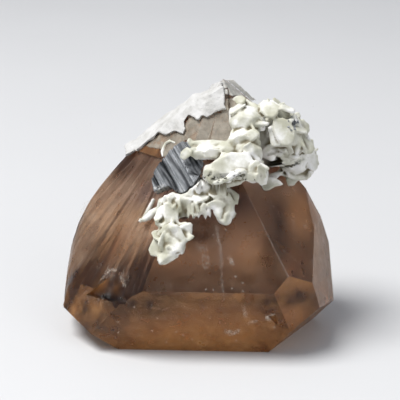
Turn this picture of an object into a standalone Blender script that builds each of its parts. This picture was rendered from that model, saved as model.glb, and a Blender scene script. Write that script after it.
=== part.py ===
"""A brown topaz crystal with white bladed albite, a thin white coating and one dark tabular crystal.

The stone stands on a flat base face, +Z is up and -Y is its front. The origin is at the middle of the
bounding box, on the base. Every shape is made in millimetres and scaled to metres in the last step.
"""

import math
import random

import bmesh
import bpy
from mathutils import Matrix, Vector
from mathutils.bvhtree import BVHTree

MM = 0.001
CLEARANCE = 0.3  # gap between two minerals, so that the solids never touch

# A crystal face is given by its azimuth (0 looks to -Y, 90 to +X), its tilt (90 looks up, -90 down)
# and its distance from the centre of the body that it bounds.
BODY_CENTRE = Vector((0.0, 16.0, 15.0))
FLAT_FACES = {
    "base": (0, -90, 15.0),
    "front upper": (-3, 30, 17.5),
    "front lower": (-3, -22.4, 19.5),
    "right front bevel": (35, -6, 25.8),
    "right undercut": (61, -42.5, 24.6),
    "left front bevel": (-51, 17, 20.9),
    "left undercut": (-73, -55, 23.0),
    "right upper": (58, 38.5, 20.9),
    "right side": (78, 12, 24.1),
    "right shoulder": (78, 24, 23.8),
    "back undercut": (180, -20, 19.4),
    "back left undercut": (-135, -22, 23.3),
    "back right undercut": (130, -22, 23.4),
    "back right": (135, 28, 21.0),
    "roof": (-12, 62, 23.7),
}
GROWTH_FACES = {
    "left front": (-50, 34.5, 16.9),
    "left foot": (-88, 6, 25.6),
    "left lower": (-88, 19, 24.8),
    "left middle": (-86, 32, 23.9),
    "left upper": (-84, 44, 23.4),
    "left crown": (-78, 52, 23.7),
    "back": (180, 25, 20.2),
    "back left": (-140, 25, 21.3),
    "back crown": (180, 48, 25.5),
}

# The growth sides are ribbed: narrow terraces fan out from the peak over the left and the back
CROWN_POINT = Vector((4.5, 20.0, 50.0))
ROUNDNESS = 26
FLAT_SPARE = 4.0  # how far the rounded body reaches past the flat faces that cut it
TERRACE_START = -175
TERRACE_END = -18
TERRACE_WIDTH = (2.4, 6.2)  # degrees about the fan's axis
TERRACE_DEPTH = 0.55
TERRACE_MIDDLE = (0.12, 0.54)  # where a terrace is deepest, as a share of the way from crown to foot
TERRACE_REACH = 0.5  # share of that way over which it fades out on either side
STEP_WIDTH = 0.5
PLAIN_STEP = 10
RING_COUNT = 17

# Two blocks stand back from the ledge below the peak
WINDOW_CENTRE = Vector((2.0, 16.0, 41.0))
WINDOW_FACES = {
    "foot": (0, -90, 6.0),
    "window": (-10, 34, 4.3),
    "left front": (-50, 34.5, 3.7),
    "dark side": (80, 10, 5.2),
    "coated slope": (-86, 48, 4.4),
    "coated crown": (-85, 61, 4.8),
    "back crown": (180, 60, 6.0),
    "back": (180, 25, 5.8),
}
PEAK_CENTRE = Vector((8.0, 20.0, 43.0))
PEAK_FACES = {
    "foot": (0, -90, 8.8),
    "pale front": (-2, 46, 5.9),
    "left side": (-80, 25, 5.4),
    "tip": (180, 60, 5.2),
    "right slope": (80, 44, 2.4),
    "right side": (78, 12, 4.5),
    "back": (180, 26, 3.0),
}

# Small damage: a chip at the lower left corner and a pit in the lower front face
CHIP_CENTRE = Vector((-16.5, -0.2, 12.6))
CHIP_FACES = {
    "left roof": (-95, 48, 1.6),
    "right roof": (62, 50, 1.7),
    "floor": (-20, -78, 1.9),
    "inner wall": (129, -17, 1.3),
    "outer end": (-51, 17, 6.0),
}
PIT_CENTRE = Vector((14.2, -2.9, 8.6))
PIT_FACES = {
    "upper": (-40, 60, 0.5),
    "right": (80, 5, 0.8),
    "lower": (-80, -45, 0.6),
    "inner wall": (172, 20, 0.7),
    "outer end": (-3, -22, 3.0),
}

# What lies on the stone is placed as it is seen from one viewpoint: "across" and "up" are measured in the
# plane through the sighting target that faces the viewpoint
VIEWPOINT = Vector((0.6, -274.9, 114.7))
TARGET = Vector((0.6, 12.0, 27.0))
SIGHT = (TARGET - VIEWPOINT).normalized()
SIGHT_UP = Vector((1, 0, 0)).cross(SIGHT)
OPEN_DEPTH = 17.0  # where a line of sight that passes the stone is stopped
PRISM_REACH = 30.0  # how far a seen outline's prism runs to either side of the target

# Ragged outline of the white coating, clockwise from its lower left end
COATING_OUTLINE = [
    (-15.0, 9.0), (-15.5, 13.0), (-9.0, 16.4), (-3.2, 20.6), (-0.4, 22.6), (2.0, 23.0), (3.6, 23.2), (4.3, 22.8),
    (4.7, 19.6), (4.5, 18.4), (4.9, 17.6), (3.2, 17.0),
    (1.2, 15.8), (0.1, 16.4), (-0.5, 15.5), (-2.5, 16.6), (-3.3, 15.3), (-3.1, 13.9), (-3.5, 12.8), (-5.2, 13.5),
    (-6.8, 12.8), (-8.5, 13.6), (-9.3, 12.5), (-10.9, 11.6), (-12.0, 10.4),
]
COATING_THICKNESS = 0.8

# Outline of the dark tablet's front face, clockwise from its upper left corner
TABLET_OUTLINE = [
    (-3.4, 11.5), (-1.9, 11.3), (-0.5, 9.7), (0.6, 6.8), (0.3, 5.4), (-1.4, 3.1), (-3.4, 1.4), (-4.7, 1.6),
    (-6.2, 2.9), (-9.0, 1.6), (-9.5, 4.0), (-8.7, 6.2), (-7.2, 8.1), (-5.9, 9.7), (-4.7, 10.8),
]
TABLET_MIDDLE = (-4.4, 6.4)
TABLET_FACING = (-20, 30)
TABLET_LIFT = 3.8
TABLET_THICKNESS = 2.4
GROOVE_REACH = 9.0
GROOVE_SHALLOW_SIDE = 0.4  # depth of a groove's shallow side, as a share of its depth
GROOVE_SLOPE = -61  # degrees from level, as seen from the front
GROOVES = [(-4.9, 0.5, 0.45), (-3.4, 0.9, 0.3), (-2.1, 0.4, 0.5), (-0.7, 1.2, 0.35), (0.9, 0.5, 0.5),
           (2.2, 0.9, 0.25), (3.6, 0.4, 0.5), (4.7, 0.8, 0.35)]  # offset, width, depth

# Rounded masses of albite: across, up, lift off the stone, half width, half depth, half height
LUMPS = [
    (9.0, 15.4, 0.5, 3.6, 4.0, 3.0), (13.2, 14.8, 2.5, 4.4, 5.0, 4.0), (16.6, 12.4, 3.5, 4.3, 6.0, 4.4),
    (18.6, 8.6, 3.0, 3.8, 5.0, 3.8), (13.2, 9.6, 1.8, 4.4, 4.0, 3.6), (19.4, 6.3, 1.5, 2.6, 3.4, 2.4),
    (8.4, 11.2, 0.8, 3.4, 2.6, 2.6), (6.4, 6.2, 0.8, 4.6, 2.4, 3.0), (2.0, 9.2, 0.4, 4.4, 1.6, 1.7),
    (-2.2, 3.4, 0.3, 4.0, 1.8, 3.2), (-6.9, 1.2, 0.3, 3.0, 1.5, 2.6), (-6.4, -3.4, 0.8, 2.4, 1.6, 2.8),
    (-5.6, -7.6, 0.7, 2.4, 1.5, 2.8), (0.4, -0.6, 0.3, 2.8, 1.3, 2.2), (4.6, 0.4, 0.5, 1.8, 1.2, 2.6),
    (-6.0, 9.9, 0.2, 1.7, 1.1, 1.3), (10.6, 5.4, 0.9, 2.8, 2.2, 2.2), (9.4, 8.8, 0.8, 2.8, 2.6, 2.8),
    (2.6, 5.0, 0.8, 2.6, 2.0, 2.6), (1.0, 2.0, 0.8, 2.8, 1.8, 2.2), (-4.2, 0.2, 0.6, 2.6, 1.6, 1.8),
    (2.6, 1.2, 0.7, 2.6, 1.6, 1.8), (-6.4, -0.9, 0.8, 2.2, 1.6, 2.0), (-6.0, -5.4, 0.8, 2.2, 1.6, 2.2),
    (7.6, 17.0, 0.6, 2.2, 2.4, 1.8), (5.2, 9.6, 0.6, 3.0, 1.8, 1.8),
]

# Masses over the right shoulder and the back, by their place: x, y, z, half width, half depth, half height
BACK_LUMPS = [
    (14.0, 24.0, 38.0, 5.0, 4.2, 3.8), (18.6, 21.0, 33.6, 3.8, 4.8, 4.0), (9.6, 27.0, 39.4, 3.6, 2.8, 2.8),
    (16.0, 27.4, 32.0, 4.0, 2.8, 4.2),
]
LUMP_UNEVENNESS = (0.88, 1.08)
SMALL_LUMP = 2.7  # a mass with no half size above this is made of fewer faces

# Plates that stand out of those masses: x, y, z, length, width, thickness, azimuth, tilt, roll
BACK_PLATES = [
    (18.6, 25.6, 38.6, 6.4, 4.4, 1.0, 130, 30, 20), (14.2, 27.8, 37.2, 6.0, 4.6, 1.0, 168, 24, -30),
    (20.4, 25.4, 33.6, 6.2, 4.2, 1.0, 128, 6, 70), (16.4, 30.0, 32.6, 6.4, 4.4, 1.0, 165, 10, 15),
    (12.0, 29.0, 39.6, 5.4, 3.6, 0.9, 176, 48, 60), (8.8, 29.2, 41.0, 4.6, 3.2, 0.8, -158, 40, 10),
    (13.2, 29.8, 33.4, 4.6, 3.2, 0.8, -168, 4, 100), (22.0, 20.6, 35.2, 5.4, 3.8, 0.9, 92, 20, -20),
    (19.0, 27.8, 29.4, 4.8, 3.4, 0.8, 142, -24, 45), (17.4, 23.2, 41.2, 4.8, 3.4, 0.8, 100, 58, 0),
]

# Single large plates of albite: across, up, lift, length, width, thickness, roll, pitch, yaw
PLATES = [
    (4.7, -1.4, 1.5, 7.0, 4.2, 0.9, 96, -8, 6), (-6.0, -8.0, 1.5, 7.6, 6.0, 0.9, 38, -6, -14),
    (-6.2, -11.2, 1.6, 4.8, 2.2, 0.8, 27, 6, 0), (-8.4, -8.8, 1.4, 4.4, 2.6, 0.8, 72, 0, -20),
    (-6.2, -2.2, 1.8, 4.6, 4.0, 0.8, 20, 10, -10), (-11.0, -2.2, 0.9, 6.6, 1.3, 0.6, 66, 0, -24),
    (-3.2, -6.0, 1.7, 4.2, 3.0, 0.8, 30, -10, 10), (-7.9, 0.8, 1.4, 4.4, 2.6, 0.8, -60, 0, -10),
    (-3.8, 0.6, 1.5, 4.4, 2.8, 0.8, 10, 14, 0), (-1.0, 1.8, 1.7, 4.0, 2.8, 0.8, 80, 0, 12),
    (2.1, 11.0, 1.3, 8.8, 1.7, 0.9, -2, 34, 0), (3.4, 9.2, 1.6, 6.4, 1.5, 0.8, 16, 20, 0),
    (6.3, 7.0, 2.9, 8.4, 4.6, 1.1, 8, 6, 0), (6.2, 4.2, 3.2, 8.4, 3.4, 1.0, 22, -22, 0),
    (16.1, 12.8, 8.4, 6.4, 5.8, 0.9, 20, 10, 6), (12.6, 11.8, 6.8, 5.6, 5.0, 0.9, -10, 8, -16),
    (13.2, 8.9, 6.0, 4.8, 2.0, 0.8, -36, 14, -6), (17.5, 9.6, 7.6, 4.8, 1.6, 0.7, 8, 24, 0),
    (17.8, 8.3, 7.2, 4.6, 1.6, 0.7, 12, 20, 8), (17.4, 7.0, 6.6, 4.8, 1.7, 0.7, 4, 12, 4),
    (13.6, 3.5, 2.6, 6.0, 2.0, 0.7, -3, -26, 6), (14.0, 5.2, 3.0, 4.8, 1.2, 0.6, 16, -10, 0),
    (9.6, 17.6, 3.4, 5.2, 3.4, 0.8, -18, 30, -10), (13.4, 17.9, 5.0, 5.0, 3.2, 0.8, 4, 34, 0),
    (16.6, 16.6, 5.5, 4.6, 3.2, 0.8, -34, 24, 14), (18.8, 14.4, 5.0, 4.8, 3.0, 0.8, -55, 10, 26),
    (20.3, 11.4, 4.5, 4.8, 3.2, 0.8, -64, 0, 34), (21.4, 8.2, 3.5, 4.8, 3.2, 0.8, -88, -8, 34),
    (20.8, 5.6, 2.6, 4.4, 3.0, 0.8, 58, -20, 24), (18.4, 5.0, 3.2, 4.8, 2.6, 0.8, 10, -24, 10),
    (8.4, 14.4, 2.6, 3.8, 3.0, 0.8, 70, 10, -20), (9.8, 12.4, 3.4, 4.0, 2.6, 0.8, 20, 16, -10),
    (7.8, 11.2, 2.4, 3.6, 2.4, 0.8, -40, 10, 0), (10.6, 6.2, 2.8, 3.8, 2.2, 0.7, 60, -10, 10),
    (-6.8, 10.9, 1.0, 3.2, 0.9, 0.6, 34, 20, -10),
]

# Rim of a plate: its corners, how uneven they are, and its bevel
PLATE_CORNERS = 9
PLATE_SHIFT = 0.25  # chance shift of a corner, as a share of the way to the next one
PLATE_UNEVENNESS = (0.86, 1.08)
PLATE_SQUARENESS = 0.8  # power that draws the rim from an oval (1) towards a rectangle (0)
PLATE_BEVEL = 0.35
PLATE_BEVEL_SHARE = 0.16  # the bevel's most, as a share of the width
PLATE_RIM_HEIGHT = 0.12  # height of the widest ring, as a share of the thickness

# Comb of small blades that hangs under the front mass
COMB_START = -2.0
COMB_PITCH = 0.95
COMB_COUNT = 5
COMB_UP = -1.9
COMB_LIFT = 1.2
COMB_LENGTH = (3.4, 3.9)  # in turn
COMB_BLADE = (0.85, 0.6)  # width and thickness
COMB_LEAN = 7  # degrees from one blade to the next
COMB_TURN = 30

# Small plates that stand out of the masses
FILLER_COUNT = 26
FILLER_LENGTH = (2.0, 3.8)
FILLER_SHAPE = (0.5, 0.8)  # width as a share of the length
FILLER_THICKNESS = 0.6
FILLER_RISE = 0.5  # least height of its middle above the stone
FILLER_SINK = 0.96  # place of its middle, as a share of the way out to the mass's surface
FILLER_LEAN = 0.5


def face_normal(azimuth, tilt):
    """Unit normal of a crystal face."""
    around = math.radians(azimuth)
    up = math.radians(tilt)
    return Vector((math.sin(around) * math.cos(up), -math.cos(around) * math.cos(up), math.sin(up)))


def new_object(name, mesh):
    obj = bpy.data.objects.new(name, mesh)
    bpy.context.scene.collection.objects.link(obj)
    return obj


def object_from_bmesh(name, bm):
    mesh = bpy.data.meshes.new(name)
    bmesh.ops.recalc_face_normals(bm, faces=bm.faces)
    bm.to_mesh(mesh)
    bm.free()
    return new_object(name, mesh)


def cut_by(bm, point, normal):
    """Keep the side of a closed mesh that the normal points away from, and close the cut."""
    geometry = bm.verts[:] + bm.edges[:] + bm.faces[:]
    cut = bmesh.ops.bisect_plane(bm, geom=geometry, dist=1e-6, plane_co=point, plane_no=normal, clear_outer=True)
    rim = [item for item in cut["geom_cut"] if isinstance(item, bmesh.types.BMEdge)]
    if rim:
        bmesh.ops.edgeloop_fill(bm, edges=rim)


def block(name, centre, faces, grow=0.0, reach=60.0):
    """Solid bounded by crystal faces about a centre, each moved outward by grow."""
    bm = bmesh.new()
    bmesh.ops.create_cube(bm, size=2 * reach, matrix=Matrix.Translation(centre))
    for azimuth, tilt, distance in faces.values():
        normal = face_normal(azimuth, tilt)
        cut_by(bm, centre + normal * (distance + grow), normal)
    return object_from_bmesh(name, bm)


def combine(target, operation, cutters):
    """Apply exact Booleans to the target, and remove the cutters."""
    for cutter in cutters:
        modifier = target.modifiers.new("combine", "BOOLEAN")
        modifier.operation = operation
        modifier.solver = "EXACT"
        modifier.object = cutter
    bpy.context.view_layer.update()
    evaluated = target.evaluated_get(bpy.context.evaluated_depsgraph_get())
    mesh = bpy.data.meshes.new_from_object(evaluated)
    target.modifiers.clear()
    target.data = mesh
    for cutter in cutters:
        bpy.data.objects.remove(cutter)
    return target


def terraces():
    """Angles about the fan's axis, with the depth and the middle height of the terrace there."""
    dice = random.Random(7)
    columns = []
    angle = TERRACE_START
    while angle < TERRACE_END:
        width = dice.uniform(*TERRACE_WIDTH)
        depth = TERRACE_DEPTH * dice.random() ** 1.3
        middle = dice.uniform(*TERRACE_MIDDLE)
        columns.append((angle + STEP_WIDTH / 2, depth, middle))
        angle += width
        columns.append((angle - STEP_WIDTH / 2, depth, middle))
    while angle < TERRACE_START + 360 - PLAIN_STEP / 2:
        columns.append((angle, 0.0, 0.0))
        angle += PLAIN_STEP
    return columns


def plain_columns():
    return [(angle, 0.0, 0.0) for angle in range(TERRACE_START, TERRACE_START + 360, PLAIN_STEP)]


def growth_body(grow, ribbed):
    """Rounded body, with terraces on its growth sides if ribbed, as a grid of rays from its centre."""
    planes = [(face_normal(azimuth, tilt), distance) for azimuth, tilt, distance in GROWTH_FACES.values()]
    planes += [(face_normal(azimuth, tilt), distance + FLAT_SPARE)
               for azimuth, tilt, distance in FLAT_FACES.values()]
    pole = (CROWN_POINT - BODY_CENTRE).normalized()
    right = Vector((0, 1, 0)).cross(pole).normalized()
    ahead = right.cross(pole)
    bm = bmesh.new()

    def vertex(direction, depth):
        reach = sum(max(0.0, normal.dot(direction) / distance) ** ROUNDNESS for normal, distance in planes)
        return bm.verts.new(BODY_CENTRE + direction * (reach ** (-1 / ROUNDNESS) - depth + grow))

    columns = []
    for angle, depth, middle in terraces() if ribbed else plain_columns():
        turn = math.radians(angle)
        outward = right * math.sin(turn) + ahead * math.cos(turn)
        column = []
        for ring in range(1, RING_COUNT):
            share = ring / RING_COUNT
            polar = math.pi * share
            fade = max(0.0, 1 - ((share - middle) / TERRACE_REACH) ** 2)
            column.append(vertex(pole * math.cos(polar) + outward * math.sin(polar), depth * fade))
        columns.append(column)
    top = vertex(pole, 0)
    bottom = vertex(-pole, 0)
    for column, following in zip(columns, columns[1:] + columns[:1]):
        bm.faces.new((top, column[0], following[0]))
        bm.faces.new((bottom, following[-1], column[-1]))
        for upper in range(RING_COUNT - 2):
            bm.faces.new((column[upper], column[upper + 1], following[upper + 1], following[upper]))
    return object_from_bmesh("growth body", bm)


def topaz(name, grow=0.0):
    """The topaz, or the same form without its terraces, grown outward on every side."""
    body = growth_body(grow, ribbed=grow == 0)
    body.name = name
    combine(body, "INTERSECT", [block("flats", BODY_CENTRE, FLAT_FACES, grow)])
    window = block("window block", WINDOW_CENTRE, WINDOW_FACES, grow)
    peak = block("peak block", PEAK_CENTRE, PEAK_FACES, grow)
    return combine(body, "UNION", [window, peak])


def sight_line(across, up):
    """Direction from the viewpoint through a point of the sighting plane."""
    return (TARGET + Vector((across, 0, 0)) + SIGHT_UP * up - VIEWPOINT).normalized()


def seen_place(tree, across, up, lift):
    """The point of the stone seen there, lifted towards the viewer."""
    direction = sight_line(across, up)
    hit = tree.ray_cast(VIEWPOINT, direction)[0]
    if hit is None:
        hit = VIEWPOINT + direction * ((OPEN_DEPTH - VIEWPOINT.y) / direction.y)
    return hit - direction * lift


def on_plane(across, up, point, normal):
    """Where a line of sight meets a plane."""
    direction = sight_line(across, up)
    return VIEWPOINT + direction * ((point - VIEWPOINT).dot(normal) / direction.dot(normal))


def prism(name, corners, offset_front, offset_back):
    """Solid between two copies of a ring of corners."""
    bm = bmesh.new()
    front = [bm.verts.new(corner + offset_front) for corner in corners]
    back = [bm.verts.new(corner + offset_back) for corner in corners]
    bm.faces.new(front)
    bm.faces.new(back[::-1])
    for index in range(len(corners)):
        following = (index + 1) % len(corners)
        bm.faces.new((front[following], front[index], back[index], back[following]))
    return object_from_bmesh(name, bm)


def grown_outline(outline, distance):
    """An outline moved outward by a distance, corner by corner."""
    grown = []
    for index, corner in enumerate(outline):
        before = Vector(outline[index - 1])
        here = Vector(corner)
        after = Vector(outline[(index + 1) % len(outline)])
        first = (here - before).normalized()
        second = (after - here).normalized()
        outward = Vector((-first.y - second.y, first.x + second.x)).normalized()
        spread = max(0.5, outward.dot(Vector((-first.y, first.x))))
        grown.append(tuple(here + outward * distance / spread))
    return grown


def sight_prism(name, outline, grow=0.0):
    """Prism of a seen outline, along the middle line of sight, right through the stone."""
    corners = [TARGET + Vector((across, 0, 0)) + SIGHT_UP * up for across, up in grown_outline(outline, grow)]
    return prism(name, corners, SIGHT * -PRISM_REACH, SIGHT * PRISM_REACH)


def keep_largest(obj):
    """Drop crumbs that a cut has parted from the main solid."""
    bm = bmesh.new()
    bm.from_mesh(obj.data)
    unseen = set(bm.verts)
    groups = []
    while unseen:
        group = {unseen.pop()}
        edge_of_group = list(group)
        while edge_of_group:
            vertex = edge_of_group.pop()
            for edge in vertex.link_edges:
                other = edge.other_vert(vertex)
                if other in unseen:
                    unseen.remove(other)
                    group.add(other)
                    edge_of_group.append(other)
        groups.append(group)
    groups.sort(key=len)
    bmesh.ops.delete(bm, geom=[vertex for group in groups[:-1] for vertex in group], context="VERTS")
    bm.to_mesh(obj.data)
    bm.free()
    return obj


def coating():
    """Thin crust over the upper left slope, in front and behind."""
    crust = topaz("albite_coating", CLEARANCE + COATING_THICKNESS)
    combine(crust, "DIFFERENCE", [topaz("bared", CLEARANCE)])
    combine(crust, "INTERSECT", [sight_prism("coated area", COATING_OUTLINE)])
    return keep_largest(crust)


def tablet_prism(name, tree, grow=0.0):
    """The dark tablet without its striations, or the same form grown."""
    normal = face_normal(*TABLET_FACING)
    place = seen_place(tree, *TABLET_MIDDLE, TABLET_LIFT)
    corners = [on_plane(across, up, place, normal) for across, up in grown_outline(TABLET_OUTLINE, grow)]
    return prism(name, corners, normal * grow, normal * -(TABLET_THICKNESS + grow)), place, normal


def dark_tablet(tree):
    """Tabular crystal with grooves cut into its broad face."""
    tablet, place, normal = tablet_prism("dark_tablet", tree)
    level = Vector((1, 0, 0)) - normal * normal.x
    level.normalize()
    steep = normal.cross(level)
    along = level * math.cos(math.radians(GROOVE_SLOPE)) + steep * math.sin(math.radians(GROOVE_SLOPE))
    aside = normal.cross(along)
    cutters = []
    for offset, width, depth in GROOVES:
        left = place + aside * (offset - width / 2)
        right = place + aside * (offset + width / 2)
        corners = [right - normal * depth * GROOVE_SHALLOW_SIDE, left - normal * depth, left + normal, right + normal]
        cutters.append(prism("groove", corners, along * GROOVE_REACH, along * -GROOVE_REACH))
    cutters.append(topaz("stone with clearance", CLEARANCE))
    return keep_largest(combine(tablet, "DIFFERENCE", cutters))


def mass(name, place, half_sizes, seed):
    """Rounded mass with a lumpy surface."""
    dice = random.Random(seed)
    bm = bmesh.new()
    bmesh.ops.create_icosphere(bm, subdivisions=1 if max(half_sizes) < SMALL_LUMP else 2, radius=1.0)
    for vertex in bm.verts:
        vertex.co *= dice.uniform(*LUMP_UNEVENNESS)
        vertex.co = Vector((vertex.co.x * half_sizes[0], vertex.co.y * half_sizes[1], vertex.co.z * half_sizes[2]))
        vertex.co += place
    return object_from_bmesh(name, bm)


def plate(name, place, length, width, thickness, facing, seed):
    """Tablet of albite with a bevelled, slightly uneven rim, square to the facing matrix's Z."""
    dice = random.Random(seed)
    bevel = min(PLATE_BEVEL, width * PLATE_BEVEL_SHARE)
    bm = bmesh.new()
    rings = [[], [], []]
    for index in range(PLATE_CORNERS):
        turn = 2 * math.pi * (index + dice.uniform(-PLATE_SHIFT, PLATE_SHIFT)) / PLATE_CORNERS
        uneven = dice.uniform(*PLATE_UNEVENNESS)
        across = math.copysign(abs(math.cos(turn)) ** PLATE_SQUARENESS, math.cos(turn)) * length / 2 * uneven
        upward = math.copysign(abs(math.sin(turn)) ** PLATE_SQUARENESS, math.sin(turn)) * width / 2 * uneven
        for ring, height, inset in zip(rings, (-0.5, PLATE_RIM_HEIGHT, 0.5), (bevel, 0.0, bevel)):
            shrink = 1 - inset / (width / 2)
            ring.append(bm.verts.new(place + facing @ Vector((across * shrink, upward * shrink, thickness * height))))
    bm.faces.new(rings[0][::-1])
    bm.faces.new(rings[2])
    for lower, upper in zip(rings, rings[1:]):
        for index in range(PLATE_CORNERS):
            following = (index + 1) % PLATE_CORNERS
            bm.faces.new((lower[index], lower[following], upper[following], upper[index]))
    return object_from_bmesh(name, bm)


def seen_facing(roll, pitch, yaw):
    """Orientation of a plate: unturned, it faces the viewer with its length across."""
    unturned = Matrix((Vector((1, 0, 0)), SIGHT_UP, -SIGHT)).transposed()
    turned = Matrix.Rotation(math.radians(yaw), 3, "Y") @ Matrix.Rotation(math.radians(-pitch), 3, "X")
    return unturned @ turned @ Matrix.Rotation(math.radians(roll), 3, "Z")


def filler_plates(tree, masses):
    """Small plates that stand out of the masses at chance angles."""
    dice = random.Random(21)
    plates = []
    while len(plates) < FILLER_COUNT:
        place, half_sizes = dice.choice(masses)
        outward = Vector((dice.gauss(0, 1), dice.gauss(0, 1), dice.gauss(0, 1))).normalized()
        spot = place + Vector([outward[axis] * half_sizes[axis] * FILLER_SINK for axis in range(3)])
        nearest, normal = tree.find_nearest(spot)[:2]
        if (spot - nearest).dot(normal) < FILLER_RISE:
            continue
        lean = Vector([dice.gauss(0, FILLER_LEAN) for _ in range(3)])
        facing = (outward + lean).to_track_quat("Z", "Y").to_matrix()
        facing = facing @ Matrix.Rotation(dice.uniform(0, math.pi), 3, "Z")
        length = dice.uniform(*FILLER_LENGTH)
        width = length * dice.uniform(*FILLER_SHAPE)
        plates.append(plate("filler", spot, length, width, FILLER_THICKNESS, facing, len(plates) + 500))
    return plates


def albite_cluster(tree):
    """Masses and plates of albite grown into one solid, cut clear of what they lie on."""
    masses = [(seen_place(tree, across, up, lift), sizes) for across, up, lift, *sizes in LUMPS]
    masses += [(Vector((x, y, z)), sizes) for x, y, z, *sizes in BACK_LUMPS]
    pieces = [mass("mass", place, sizes, seed) for seed, (place, sizes) in enumerate(masses)]
    for seed, (across, up, lift, length, width, thickness, roll, pitch, yaw) in enumerate(PLATES):
        place = seen_place(tree, across, up, lift)
        pieces.append(plate("plate", place, length, width, thickness, seen_facing(roll, pitch, yaw), seed + 100))
    for seed, (x, y, z, length, width, thickness, azimuth, tilt, roll) in enumerate(BACK_PLATES):
        facing = face_normal(azimuth, tilt).to_track_quat("Z", "Y").to_matrix()
        facing = facing @ Matrix.Rotation(math.radians(roll), 3, "Z")
        pieces.append(plate("back plate", Vector((x, y, z)), length, width, thickness, facing, seed + 200))
    for index in range(COMB_COUNT):
        place = seen_place(tree, COMB_START + index * COMB_PITCH, COMB_UP, COMB_LIFT)
        facing = seen_facing(90 + COMB_LEAN * (index - COMB_COUNT // 2), -8, COMB_TURN * (-1) ** index)
        pieces.append(plate("comb blade", place, COMB_LENGTH[index % 2], *COMB_BLADE, facing, index + 300))
    pieces += filler_plates(tree, masses)
    cluster = pieces.pop(0)
    cluster.name = "albite_cluster"
    combine(cluster, "UNION", pieces)
    stone = topaz("stone with clearance", CLEARANCE)
    tablet = tablet_prism("tablet with clearance", tree, CLEARANCE)[0]
    coated = sight_prism("coating with clearance", COATING_OUTLINE, CLEARANCE)
    combine(cluster, "DIFFERENCE", [stone, tablet, coated])
    return keep_largest(cluster)


def middle_of(objects):
    """Middle of the base of the box around some solids."""
    points = [vertex.co for obj in objects for vertex in obj.data.vertices]
    low = [min(point[axis] for point in points) for axis in range(3)]
    high = [max(point[axis] for point in points) for axis in range(3)]
    return Vector(((low[0] + high[0]) / 2, (low[1] + high[1]) / 2, low[2]))


def finish(obj, origin, material):
    """Put the part's origin where it belongs, scale to metres and give the material."""
    obj.data.transform(Matrix.Scale(MM, 4) @ Matrix.Translation(-origin))
    obj.data.materials.clear()
    obj.data.materials.append(material)


def principled(name, colour, roughness, metallic=0.0):
    material = bpy.data.materials.new(name)
    material.use_nodes = True
    shader = material.node_tree.nodes["Principled BSDF"]
    shader.inputs["Base Color"].default_value = (*colour, 1.0)
    shader.inputs["Roughness"].default_value = roughness
    shader.inputs["Metallic"].default_value = metallic
    return material


def main():
    for obj in list(bpy.data.objects):
        bpy.data.objects.remove(obj)
    crystal = topaz("topaz_crystal")
    tree = BVHTree.FromObject(crystal, bpy.context.evaluated_depsgraph_get())
    combine(crystal, "DIFFERENCE", [block("chip", CHIP_CENTRE, CHIP_FACES), block("pit", PIT_CENTRE, PIT_FACES)])
    crust = coating()
    tablet = dark_tablet(tree)
    cluster = albite_cluster(tree)
    origin = middle_of([crystal, crust, tablet, cluster])
    finish(crystal, origin, principled("topaz brown", (0.36, 0.17, 0.09), 0.08))
    finish(crust, origin, principled("coating white", (0.86, 0.86, 0.84), 0.75))
    finish(tablet, origin, principled("tablet black", (0.10, 0.11, 0.12), 0.32, 0.6))
    finish(cluster, origin, principled("albite white", (0.86, 0.87, 0.83), 0.45))


main()
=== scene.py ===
"""Looks of a brown topaz crystal with bladed albite, a white coating and one dark striated tablet.

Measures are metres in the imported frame: the flat base stands on z = 0 and the front looks to -Y. Many places
are given as pixels of the photograph, 400 wide and high, and are found on the stone along the camera's view.
"""

import math

import bmesh
import bpy
import numpy as np
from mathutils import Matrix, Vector, noise
from mathutils.bvhtree import BVHTree
from mathutils.kdtree import KDTree


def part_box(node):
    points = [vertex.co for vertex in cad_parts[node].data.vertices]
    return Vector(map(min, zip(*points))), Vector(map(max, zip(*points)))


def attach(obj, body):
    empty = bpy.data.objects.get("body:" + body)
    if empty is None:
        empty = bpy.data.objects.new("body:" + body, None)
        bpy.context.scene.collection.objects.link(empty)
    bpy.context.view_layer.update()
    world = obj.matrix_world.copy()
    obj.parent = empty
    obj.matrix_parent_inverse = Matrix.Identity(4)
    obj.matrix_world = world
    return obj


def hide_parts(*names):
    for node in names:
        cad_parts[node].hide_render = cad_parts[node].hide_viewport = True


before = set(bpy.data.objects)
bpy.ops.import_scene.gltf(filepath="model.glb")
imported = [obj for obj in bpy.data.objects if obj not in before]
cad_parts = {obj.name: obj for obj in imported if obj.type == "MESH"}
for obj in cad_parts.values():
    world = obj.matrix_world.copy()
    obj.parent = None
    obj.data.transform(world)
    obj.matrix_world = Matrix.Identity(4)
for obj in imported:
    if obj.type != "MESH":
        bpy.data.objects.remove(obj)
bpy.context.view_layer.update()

MM = 0.001

# The camera stands where the photograph was taken from
IMAGE_SIZE = 400
SENSOR = 36.0
LENS = 139.0
CAMERA_PLACE = Vector((0.24, -290.82, 114.71)) * MM
CAMERA_TARGET = Vector((0.24, -3.92, 27.0)) * MM
FORWARD = (CAMERA_TARGET - CAMERA_PLACE).normalized()
RIGHT = FORWARD.cross(Vector((0, 0, 1))).normalized()
UP = RIGHT.cross(FORWARD)

# The stone's glass: a rough, weakly reflecting body under a thin glossy coat
TOPAZ_IOR = 1.62
BODY_ROUGHNESS = (0.24, 0.40)
BODY_NOISE = 420
BODY_REFLECTION = (0.2, 0.2, 0.2)
COAT_WEIGHT = 0.14
COAT_ROUGHNESS = 0.03
COAT_IOR = 1.45
ABSORPTION_COLOUR = (0.77, 0.65, 0.55)
ABSORPTION_DENSITY = 78.0

# Soft swells and fine upright striae of its surface: features per metre, and depth and strength
SWELL_NOISE = 130
SWELL_BUMP = (0.5 * MM, 0.10)
STRIA_NOISE = 900
STRIA_STRETCH = (1, 1, 0.08)
STRIA_BUMP = (0.05 * MM, 0.25)

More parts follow.
